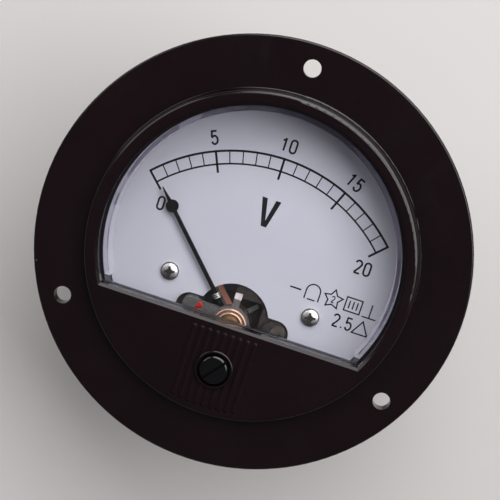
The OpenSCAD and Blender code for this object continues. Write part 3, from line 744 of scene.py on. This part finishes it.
@dataclass
class Print:
    """A thin layer of ink, built stroke by stroke on a flat face.

    Attributes:
        height: the face's height.
        thickness: how thick the ink lies.
        shift: where the print's own origin lies.
        turn: how far the whole print is turned, in degrees anticlockwise.
        body: the mesh that the strokes go into.
    """

    height: float
    thickness: float
    shift: Point = (0.0, 0.0)
    turn: float = 0.0
    body: bmesh.types.BMesh = field(default_factory=bmesh.new)

    def slab(self, outline: Sequence[Point]) -> None:
        """Fills an outline with ink.

        Args:
            outline: its corners in order, in the print's own frame.
        """
        low, high = [], []
        for point in outline:
            x, y = turned(point, self.turn)
            low.append(self.body.verts.new((x + self.shift[0], y + self.shift[1], self.height)))
            high.append(self.body.verts.new((*low[-1].co.xy, self.height + self.thickness)))
        faces = [self.body.faces.new(high), self.body.faces.new(low[::-1])]
        for i in range(len(low)):
            j = (i + 1) % len(low)
            self.body.faces.new((low[i], low[j], high[j], high[i]))
        bmesh.ops.triangulate(self.body, faces=faces)

    def stroke(self, path: Sequence[Point], width: float, closed: bool = False) -> None:
        """Draws a line of even width.

        Args:
            path: points along its middle.
            width: width of the line.
            closed: True if the last point joins the first.
        """
        count = len(path)
        left, right = [], []
        for i, here in enumerate(path):
            before = path[(i - 1) % count] if closed or i else None
            after = path[(i + 1) % count] if closed or i < count - 1 else None
            into = (Vector(here) - Vector(before)).normalized() if before else None
            out = (Vector(after) - Vector(here)).normalized() if after else None
            along = ((into or out) + (out or into)).normalized()
            mitre = 1 / max(along.dot(into or out), MITRE_LIMIT)
            side = Vector((-along.y, along.x)) * width / 2 * mitre
            left.append(tuple(Vector(here) + side))
            right.append(tuple(Vector(here) - side))
        for i in range(count if closed else count - 1):
            j = (i + 1) % count
            self.slab([left[i], left[j], right[j], right[i]])


# ------------------------------------------------------------------ sub-assemblies
def each_node(by_finish: dict[Finish, tuple[str, ...]]) -> dict[str, Finish]:
    """Turns a list of nodes for each finish into the finish of each node."""
    return {node: finish for finish, nodes in by_finish.items() for node in nodes}


@dataclass
class SubAssembly:
    """Nodes that are fitted together, and what the scene adds to them."""

    def finishes(self) -> dict[str, Finish]:
        """Names each node's finish."""
        return {}

    def build(self) -> Iterable[bpy.types.Object]:
        """Makes the pieces that the construction leaves out."""
        return ()

    def refinish(self, node: str, finish: Finish, chosen: FacePick) -> None:
        """Gives some faces of a node a finish of their own.

        Args:
            node: the node's name.
            finish: their finish.
            chosen: tells from a face's middle in mm and its normal whether it is one of them.
        """
        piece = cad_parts[node]
        piece.data.materials.append(finish.material())
        slot = len(piece.data.materials) - 1
        for face in piece.data.polygons:
            if chosen(piece.matrix_world @ face.center / MM, face.normal):
                face.material_index = slot
        LOG.info("%s: some faces %s", node, finish.name)

    def dress(self) -> None:
        """Gives every node its finish and makes the added pieces."""
        for node, finish in self.finishes().items():
            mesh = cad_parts[node].data
            mesh.materials.clear()
            mesh.materials.append(finish.material())
            LOG.info("%s: %s", node, finish.name)
        for piece in self.build():
            LOG.info("%s: added, %d faces", piece.name, len(piece.data.polygons))


@dataclass
class FrontBezel(SubAssembly):
    """The flange, its raised front and the clear pane behind its window.

    Attributes:
        pane_bottom: height of the pane's underside, where its skirt starts.
        rib_heights: heights between which the ribs stand up from the lower face.
        rib_top: their upper ends, along Y.
        rib_reach: how far they reach to either side.
        collar_y: where the adjuster's collar is along Y.
        collar_r: outer radius of the collar.
    """

    pane_bottom: float = 1.35
    rib_heights: Point = (5.91, 6.17)
    rib_top: float = -15.0
    rib_reach: float = 7.4
    collar_y: float = -24.0
    collar_r: float = 4.1

    def finishes(self) -> dict[str, Finish]:
        """Names each node's finish."""
        return {"front_bezel": BEZEL_PHENOLIC, "window": PANE_ACRYLIC}

    def dress(self) -> None:
        """Dresses the nodes, then gives the skirt, the cemented edge and the ribs their own finishes."""
        super().dress()
        self.refinish("window", SKIRT_ACRYLIC, lambda middle, normal: middle.z < self.pane_bottom)
        self.refinish(
            "window", CEMENTED_EDGE, lambda middle, normal: middle.z > self.pane_bottom and normal.y < -0.9
        )
        self.refinish("front_bezel", RIB_PHENOLIC, self.on_rib)

    def on_rib(self, middle: Vector, normal: Vector) -> bool:
        """Tells whether a face lies on one of the ribs, outside the adjuster's collar.

        Args:
            middle: the face's middle, in millimetres.
            normal: its normal, which doesn't matter here.

        Returns:
            True if it does.
        """
        low, high = self.rib_heights
        in_field = abs(middle.x) < self.rib_reach and middle.y < self.rib_top
        on_collar = math.hypot(middle.x, middle.y - self.collar_y) < self.collar_r
        return low < middle.z < high and in_field and not on_collar


@dataclass
class ZeroAdjuster(SubAssembly):
    """The slotted adjuster in the lower face and the spring clip that holds it."""

    def finishes(self) -> dict[str, Finish]:
        """Names each node's finish."""
        return {"zero_adjuster": KNOB_PHENOLIC, "adjuster_clip": SPRING_STEEL}


@dataclass(frozen=True)
class Figures:
    """Condensed plain figures drawn as strokes about their own middle.

    Attributes:
        reach: half the width between stroke centres.
        rise: half the height between stroke centres.
    """

    reach: float
    rise: float

    def strokes(self, figure: str) -> list[tuple[list[Point], bool]]:
        """Gives one figure's strokes.

        Args:
            figure: a digit that the dial uses, or a point.

        Returns:
            Each stroke's path and whether it is closed.
        """
        a, b = self.reach, self.rise
        if figure == "0":
            loop = arc((0, b - a), a, a, 0, 180, 14) + arc((0, a - b), a, a, 180, 360, 14)
            return [(loop, True)]
        if figure == "1":
            flag = arc((-0.75 * a, b), 0.95 * a, 0.42 * b, -90, -8, 6)
            return [(flag, False), ([(0.2 * a, b), (0.2 * a, -b)], False)]
        if figure == "2":
            bowl = arc((0, 0.5 * b), a, 0.5 * b, 170, -18, 16)
            slope = [(0.45 * a, -0.08 * b), (-0.9 * a, -0.92 * b)]
            return [(bowl + slope, False), ([(-a, -b), (a, -b)], False)]
        if figure == "5":
            stem = [(0.88 * a, b), (-0.72 * a, b), (-0.86 * a, 0.08 * b)]
            return [(stem, False), (arc((0, -0.36 * b), a, 0.64 * b, 148, -158, 20), False)]
        return [([(0, -b), (0, 0.24 * b - b)], False)]


@dataclass
class Dial(SubAssembly):
    """The printed dial plate and its two screws.

    Attributes:
        print_shift: how far the print lies off the pointer's axis.
        print_turn: how far the print is turned, in degrees anticlockwise.
        sweep: degrees from either end of the scale to its middle.
        inner: radius of the scale's inner line.
        outer: radius of its outer line.
        major_in: how far the long marks reach inside the inner line.
        divisions: number of spaces on the scale.
        per_major: number of spaces between long marks.
        heavy: width of the outer line and the long marks.
        medium: width of the inner line.
        light: width of the short marks.
        figure_height: height of the figures.
        figure_line: width of their strokes.
        sign_line: width of the class signs' lines.
        ink: thickness of the ink.
        screw_mm: axis of the right dial screw.
        head_t: height of the screws' heads.
        head_dome: radius of their domed tops.
        recess_r: radius round a screw's axis that holds its recess.
        recess_dip: how far under the dome a face of the recess lies at least.
    """

    print_shift: Point = (0.37, -15.98)
    print_turn: float = 0.38
    sweep: float = 45.48
    inner: float = 33.6
    outer: float = 36.3
    major_in: float = 1.8
    divisions: int = 20
    per_major: int = 5
    heavy: float = 0.47
    medium: float = 0.36
    light: float = 0.24
    figure_height: float = 3.12
    figure_line: float = 0.41
    sign_line: float = 0.29
    ink: float = 0.015
    screw_mm: Point = (15.5, -9.6)
    head_t: float = 0.95
    head_dome: float = 3.4
    recess_r: float = 1.2
    recess_dip: float = 0.04

    def finishes(self) -> dict[str, Finish]:
        """Names each node's finish."""
        return {"dial_plate": DIAL_PAINT, "dial_screws": NICKEL_TURNED, "dial_washers": NICKEL}

    def dress(self) -> None:
        """Dresses the nodes, then paints shade into the screws' recesses with a darker nickel."""
        super().dress()
        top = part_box("dial_washers")[1].z / MM + self.head_t

        def in_recess(middle: Vector, normal: Vector) -> bool:
            """Tells whether a face lies under the domed top, near a screw's axis.

            Args:
                middle: the face's middle, in millimetres.
                normal: its normal, which doesn't matter here.

            Returns:
                True if it does.
            """
            x, y = abs(middle.x) - self.screw_mm[0], middle.y - self.screw_mm[1]
            from_dome = Vector((x, y, middle.z - top + self.head_dome)).length
            under = from_dome < self.head_dome - self.recess_dip
            return math.hypot(x, y) < self.recess_r and under and middle.z > top - self.head_t

        # The recess faces get a darker nickel: painted shade, so that the cross shows.
        self.refinish("dial_screws", NICKEL_PAINTED_RECESS_SHADE, in_recess)

    def face(self) -> float:
        """Gives the height of the dial's white face."""
        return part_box("dial_plate")[1].z / MM

    def ray(self, degrees: float, near: float, far: float) -> list[Point]:
        """Gives a line along a radius.

        Args:
            degrees: its direction, clockwise from 12 o'clock.
            near: radius of its inner end.
            far: radius of its outer end.

        Returns:
            The two ends.
        """
        a = math.radians(degrees)
        return [(r * math.sin(a), r * math.cos(a)) for r in (near, far)]

    def scale(self) -> bpy.types.Object:
        """Prints the arcs and the marks.

        Returns:
            The print.
        """
        ink = Print(self.face(), self.ink, self.print_shift, self.print_turn)
        start, end = 90 + self.sweep, 90 - self.sweep
        ink.stroke(arc((0, 0), self.outer, self.outer, start, end, 96), self.heavy)
        ink.stroke(arc((0, 0), self.inner, self.inner, start, end, 96), self.medium)
        for i in range(self.divisions + 1):
            long_mark = i % self.per_major == 0
            near = self.inner - (self.major_in if long_mark else 0)
            step = self.ray(self.sweep * (2 * i / self.divisions - 1), near, self.outer + self.heavy / 2)
            ink.stroke(step, self.heavy if long_mark else self.light)
        return new_piece("dial_scale_print", ink.body, DIAL_INK)

    def write(
        self, ink: Print, text: str, centre: Point, height: float, width: float, turn: float = 0.0
    ) -> None:
        """Prints a short number.

        Args:
            ink: the print that it goes into.
            text: its figures.
            centre: middle of the number.
            height: height of the figures.
            width: width of their strokes.
            turn: how far the number is turned, in degrees anticlockwise.
        """
        rise = (height - width) / 2
        reach = rise * 0.46
        figures = Figures(reach, rise)
        advance = {".": reach * 1.5}
        spans = [advance.get(c, 2 * reach + width + height * 0.1) for c in text]
        x = -sum(spans) / 2
        for figure, span in zip(text, spans):
            for path, closed in figures.strokes(figure):
                moved = [turned((px + x + span / 2, py), turn) for px, py in path]
                ink.stroke([(px + centre[0], py + centre[1]) for px, py in moved], width, closed)
            x += span

    def figures(self) -> bpy.types.Object:
        """Prints the scale's figures.

        Returns:
            The print.
        """
        ink = Print(self.face(), self.ink)
        places = {"0": (-21.56, 3.47, 0), "5": (-15.01, 20.02, 23), "10": (0.16, 23.27, 0)}
        places |= {"15": (15.43, 20.3, -23), "20": (22.6, 3.8, 0)}
        for text, (x, y, turn) in places.items():
            self.write(ink, text, (x, y), self.figure_height, self.figure_line, turn)
        return new_piece("dial_figures", ink.body, DIAL_INK)

    def unit(self) -> bpy.types.Object:
        """Prints the bold unit letter.

        Returns:
            The print.
        """
        ink = Print(self.face(), self.ink, (0.27, 8.53))
        half, foot, arm, rise = 2.05, 0.58, 1.12, 3.0
        for side in (-1, 1):
            ink.slab([(side * half, rise), (side * (half - arm), rise), (0, -rise + 1.35), (0, -rise),
                      (side * foot, -rise)])
        return new_piece("dial_unit_letter", ink.body, DIAL_INK)

    def class_marks(self) -> bpy.types.Object:
        """Prints the usual plain signs for the kind of current, movement, test, field and position.

        Returns:
            The print.
        """
        ink = Print(self.face(), self.ink, (0.27, -0.1))
        line = self.sign_line
        # a dash: direct current
        dash_y = -4.49
        ink.stroke([(9.2, dash_y), (11.62, dash_y)], 0.34)
        # a horseshoe over a short bar: a moving coil in a permanent magnet
        middle, leg, top, foot = 14.18, 1.5, -4.05, -5.98
        bow = arc((middle, top), leg, leg, 0, 180, 20)
        ink.stroke([(middle + leg, foot), *bow, (middle - leg, foot)], line)
        ink.stroke([(middle - 0.85, foot + 0.08), (middle + 0.85, foot + 0.08)], line)
        # a star with the test voltage
        star, tip_r, notch_r = (18.59, -4.29), 2.08, 1.12
        tips = [turned((0, notch_r if k % 2 else tip_r), 36 * k) for k in range(10)]
        ink.stroke([(x + star[0], y + star[1]) for x, y in tips], line, closed=True)
        self.write(ink, "2", (star[0], star[1] - 0.05), 1.55, 0.23)
        # a square with three bars: the class of outside field
        left, right, low, high = 21.3, 24.68, -5.72, -2.79
        ink.stroke([(left, low), (right, low), (right, high), (left, high)], line, closed=True)
        for k in (1, 2, 3):
            x = left + (right - left) * k / 4
            ink.stroke([(x, low + 0.62), (x, high - 0.62)], line)
        # an upright on a base line: for upright panels
        upright, base = 26.85, -5.8
        ink.stroke([(upright - 1.5, base), (upright + 1.5, base)], line)
        ink.stroke([(upright, base), (upright, -2.87)], line)
        # the accuracy class, and an open triangle
        self.write(ink, "2.5", (21.93, -8.32), 2.95, 0.37)
        peak, half, sill = 26.05, 1.7, -9.72
        ink.stroke([(peak - half, sill), (peak + half, sill), (peak, sill + 2.87)], line, closed=True)
        return new_piece("dial_class_marks", ink.body, DIAL_INK)

    def build(self) -> Iterable[bpy.types.Object]:
        """Prints the dial.

        Yields:
            Each print.
        """
        for make in (self.scale, self.figures, self.unit, self.class_marks):
            piece = make()
            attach(piece, "housing")
            yield piece


@dataclass
class Movement(SubAssembly):
    """The moulded frame, the bridges and what turns between them.

    Attributes:
        seal_mm: middle of the paint that marks the bridge as set.
        seal_half: half its width and half its length.
        seal_turn: how far it is turned, in degrees anticlockwise.
        seal_height: how far it stands up.
        seal_rings: number of rings in its mesh.
        seal_spokes: number of points in each ring.
    """

    seal_mm: Point = (-7.3, -13.9)
    seal_half: Point = (0.62, 0.95)
    seal_turn: float = -34.0
    seal_height: float = 0.16
    seal_rings: int = 5
    seal_spokes: int = 28

    def finishes(self) -> dict[str, Finish]:
        """Names each node's finish.

        Returns:
            The finish by the node's name.
        """
        by_finish = {
            FRAME_PHENOLIC: ("movement_frame", "movement_base", "core_cap"),
            BRIDGE_ALLOY: ("front_bridge", "rear_bridge", "balance_arms"),
            NICKEL: ("bridge_screws", "lead_tag_screw"),
            NICKEL_SMOOTH: ("zero_lever", "spring_tag_rear"),
            DULL_TIN: ("lead_tag",),
            BUSH_COPPER: ("bearing_bush",),
            BRASS: ("jewel_screw_front", "jewel_screw_rear", "pointer_hub"),
            HAIR_BRONZE: ("hairspring_front", "hairspring_rear"),
            POINTER_LACQUER: ("pointer",),
            PIVOT_STEEL: ("pivot_front", "pivot_rear"),
            TINNED_WIRE: ("balance_weights", "resistor_leads"),
            COIL_WIRE: ("coil_winding",),
            BARE_ALUMINIUM: ("coil_former",),
            MAGNET_ALLOY: ("magnet_core",),
            YOKE_IRON: ("yoke_ring",),
            ZINC: ("core_screws", "movement_screws", "rear_bridge_screws"),
            RESISTOR_LACQUER: ("multiplier_resistor",),
            SLEEVING: ("front_lead",),
        }
        return each_node(by_finish)

    def build(self) -> Iterable[bpy.types.Object]:
        """Dabs the seal paint on the front bridge.

        Yields:
            The dab.
        """
        body = bmesh.new()
        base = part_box("front_bridge")[1].z / MM
        crown = body.verts.new((*self.seal_mm, base + self.seal_height))
        loops: list[list[bmesh.types.BMVert]] = []
        for i in range(1, self.seal_rings + 1):
            share = i / self.seal_rings
            height = base + self.seal_height * (1 - share**2.6)
            loop = []
            for k in range(self.seal_spokes):
                a = math.tau * k / self.seal_spokes
                reach = share * (1 + 0.12 * math.sin(3 * a + 0.6) + 0.07 * math.sin(5 * a))
                lobe = (self.seal_half[0] * reach * math.cos(a), self.seal_half[1] * reach * math.sin(a))
                x, y = turned(lobe, self.seal_turn)
                loop.append(body.verts.new((self.seal_mm[0] + x, self.seal_mm[1] + y, height)))
            loops.append(loop)
        for k, start in enumerate(loops[0]):
            body.faces.new((crown, start, loops[0][(k + 1) % self.seal_spokes]))
        join(body, loops)
        body.faces.new(loops[-1][::-1])
        piece = new_piece("bridge_seal_paint", body, SEAL_PAINT, smooth=True)
        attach(piece, "housing")
        yield piece


@dataclass
class Terminals(SubAssembly):
    """The two threaded studs and what is clamped on them.

    Attributes:
        thread_r: the thread's outside radius.
        pitch: its pitch.
        depth: its depth.
        lead_in: length of the turned-down tip.
        head_r: radius of the head inside the case.
        head_t: thickness of the head.
        head_bevel: bevel of the head's edges.
        rows_per_turn: number of cross-sections in one turn of the thread.
        spokes: number of flats round the thread.
    """

    thread_r: float = 2.0
    pitch: float = 0.7
    depth: float = 0.34
    lead_in: float = 0.4
    head_r: float = 3.5
    head_t: float = 1.5
    head_bevel: float = 0.15
    rows_per_turn: int = 8
    spokes: int = 36

    def finishes(self) -> dict[str, Finish]:
        """Names each node's finish.

        Returns:
            The finish by the node's name.
        """
        by_finish = {
            TERMINAL_BRASS: ("terminal_studs", "clamp_nuts", "terminal_nuts"),
            NICKEL: ("stud_tags", "clamp_washers", "flat_washers"),
            TINNED_WIRE: ("solder_lugs",),
            SPRING_STEEL: ("spring_washers",),
        }
        return each_node(by_finish)

    def sections(self, low: float, high: float) -> list[tuple[float, Callable[[float], float]]]:
        """Lists the stud's cross-sections from its tip to its head.

        Args:
            low: height of the tip.
            high: height of the head's top.

        Returns:
            Each section's height, and its radius as a function of the angle round it.
        """
        def thread(z: float) -> Callable[[float], float]:
            """Cuts the thread at one height.

            Args:
                z: the height.

            Returns:
                The radius as a function of the angle.
            """
            def at(angle: float) -> float:
                """Gives the radius at one angle.

                Args:
                    angle: in radians, anticlockwise from +X.

                Returns:
                    The radius.
                """
                phase = (z / self.pitch - angle / math.tau) % 1.0
                fade = min(1.0, (z - low) / self.lead_in)
                groove = 1 - abs(2 * phase - 1) + (1 - fade) / 2
                return self.thread_r - self.depth * groove
            return at

        neck = high - self.head_t
        rows = int((neck - low) / self.pitch * self.rows_per_turn)
        heights = [low + (neck - low) * i / rows for i in range(rows + 1)]
        edge, bevel = self.head_r - self.head_bevel, self.head_bevel
        head = [(neck, edge), (neck + bevel, self.head_r), (high - bevel, self.head_r), (high, edge)]
        return [(z, thread(z)) for z in heights] + [(z, lambda angle, r=r: r) for z, r in head]

    def build(self) -> Iterable[bpy.types.Object]:
        """Cuts the threads on the two studs.

        Yields:
            The pair of studs.
        """
        low, high = (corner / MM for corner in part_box("terminal_studs"))
        y = (low.y + high.y) / 2
        body = bmesh.new()
        for x in (low.x + self.head_r, high.x - self.head_r):
            loops = [ring(body, (x, y), z, reach, self.spokes) for z, reach in self.sections(low.z, high.z)]
            join(body, loops)
            body.faces.new(loops[0][::-1])
            body.faces.new(loops[-1])
        piece = new_piece("threaded_terminal_studs", body, TERMINAL_BRASS)
        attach(piece, "housing")
        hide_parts("terminal_studs")
        yield piece


@dataclass
class RearCase(SubAssembly):
    """The deep case behind the panel and its two long screws."""

    def finishes(self) -> dict[str, Finish]:
        """Names each node's finish."""
        return {"rear_case": CASE_ABS, "case_screws": ZINC}


# ------------------------------------------------------------------ studio
@dataclass(frozen=True)
class Softbox:
    """A soft lamp that looks at the meter.

    Attributes:
        name: its name.
        centre: its middle in metres, from the middle of the dial.
        width: its width in metres.
        length: its length in metres.
        radiance: how bright its face is.
    """

    name: str
    centre: tuple[float, float, float]
    width: float
    length: float
    radiance: float

    def place(self) -> bpy.types.Object:
        """Puts the lamp up.

        Returns:
            The lamp's object.
        """
        lamp = bpy.data.lights.new(self.name, "AREA")
        lamp.shape = "RECTANGLE"
        lamp.size = self.width
        lamp.size_y = self.length
        lamp.energy = self.radiance * math.pi * self.width * self.length
        stand = bpy.data.objects.new(self.name, lamp)
        stand.location = self.centre
        stand.rotation_euler = Vector(self.centre).to_track_quat("Z", "Y").to_euler()
        stand.visible_camera = False
        bpy.context.scene.collection.objects.link(stand)
        return stand


@dataclass
class Studio:
    """The pale floor, the lamps and the camera.

    Attributes:
        eye_mm: where the camera stands.
        aim_mm: the point that it looks at.
        roll: how far it is rolled about its line of sight, in degrees anticlockwise.
        lens: focal length on a 36 mm wide sensor.
        floor_gap: distance from the terminals' tips to the floor.
        floor_r: radii of the flat floor's rings, in metres.
        cove_r: radius of the bend where the floor turns up, in metres.
        cove_steps: number of stretches in the bend.
        wall_h: height of the wall round it, in metres.
        board_spokes: number of flats round the floor and the cove.
        ambient: brightness of the room above the lamps.
    """

    eye_mm: tuple[float, float, float] = (7.979, 52.169, 288.832)
    aim_mm: tuple[float, float, float] = (-0.623, 1.304, 3.0)
    roll: float = 18.053
    lens: float = 102.84
    floor_gap: float = 0.2
    floor_r: tuple[float, ...] = (0.02, 0.3, 1.1)
    cove_r: float = 0.5
    cove_steps: int = 12
    wall_h: float = 0.4
    board_spokes: int = 96
    ambient: str = "#55555a"

    def camera(self) -> None:
        """Sets up the camera at the reader's usual distance, a little above the dial's axis."""
        data = bpy.data.cameras.new("reader")
        data.sensor_width = 36
        data.lens = self.lens
        camera = bpy.data.objects.new("reader", data)
        eye, aim = Vector(self.eye_mm) * MM, Vector(self.aim_mm) * MM
        back = (eye - aim).normalized()
        right = Vector((0, 1, 0)).cross(back).normalized()
        level = Matrix((right, back.cross(right), back)).transposed()
        turn = Matrix.Rotation(math.radians(self.roll), 3, "Z")
        camera.matrix_world = Matrix.Translation(eye) @ (level @ turn).to_4x4()
        bpy.context.scene.collection.objects.link(camera)
        bpy.context.scene.camera = camera

    def board(self, name: str, profile: Sequence[Point], filled: bool) -> bpy.types.Object:
        """Sweeps a profile round the meter's axis as a sheet of studio board.

        Args:
            name: the piece's name.
            profile: radius and height of each point, in metres, from the floor's level.
            filled: True to close the middle.

        Returns:
            The new piece.
        """
        body = bmesh.new()
        base = CAD_BOX[0].z / MM - self.floor_gap
        loops = [
            ring(body, (0.0, 0.0), base + height / MM, lambda angle, r=radius / MM: r, self.board_spokes)
            for radius, height in profile
        ]
        if filled:
            body.faces.new(loops[0])
        join(body, loops)
        piece = new_piece(name, body, STUDIO_BOARD, smooth=True)
        return piece

    def floor(self) -> None:
        """Lays the floor and the cove that curves up from it far from the meter.

        Black flags stand before the cove in a real studio, so the cove isn't seen in reflections.
        """
        self.board("studio_floor", [(radius, 0.0) for radius in self.floor_r], True)
        edge = self.floor_r[-1]
        cove = [(edge, 0.0)]
        for i in range(1, self.cove_steps + 1):
            a = math.pi / 2 * i / self.cove_steps
            cove.append((edge + self.cove_r * math.sin(a), self.cove_r * (1 - math.cos(a))))
        cove.append((edge + self.cove_r, self.cove_r + self.wall_h))
        self.board("studio_cove", cove, False).visible_glossy = False

    def lamps(self) -> None:
        """Puts up the soft lamps and the dim room."""
        lamps = (
            Softbox("overhead_softbox", (0.29, 0.43, 0.65), 1.3, 0.55, 3.5),
            Softbox("left_softbox", (-1.15, 0.62, 0.85), 0.9, 0.8, 1.9),
            Softbox("far_softbox", (0.25, 1.65, 0.85), 2.2, 1.0, 2.6),
        )
        for lamp in lamps:
            lamp.place()
            LOG.info("%s: lit", lamp.name)
        world = bpy.data.worlds.new("dim_room")
        world.use_nodes = True
        world.node_tree.nodes.clear()
        room = add_node(world.node_tree, "ShaderNodeBackground", {"Color": linear(self.ambient)})
        add_node(world.node_tree, "ShaderNodeOutputWorld", links={"Surface": room.outputs[0]})
        bpy.context.scene.world = world
        bpy.context.scene.view_settings.view_transform = "Standard"

    def build(self) -> None:
        """Sets up the whole studio."""
        self.camera()
        self.floor()
        self.lamps()


def main() -> None:
    """Builds the studio and dresses each sub-assembly in order."""
    logging.basicConfig(level=logging.INFO, format="%(message)s")
    Studio().build()
    for assembly in (FrontBezel(), ZeroAdjuster(), Dial(), Movement(), Terminals(), RearCase()):
        LOG.info("-- %s", type(assembly).__name__)
        assembly.dress()


if __name__ == "__main__":
    main()
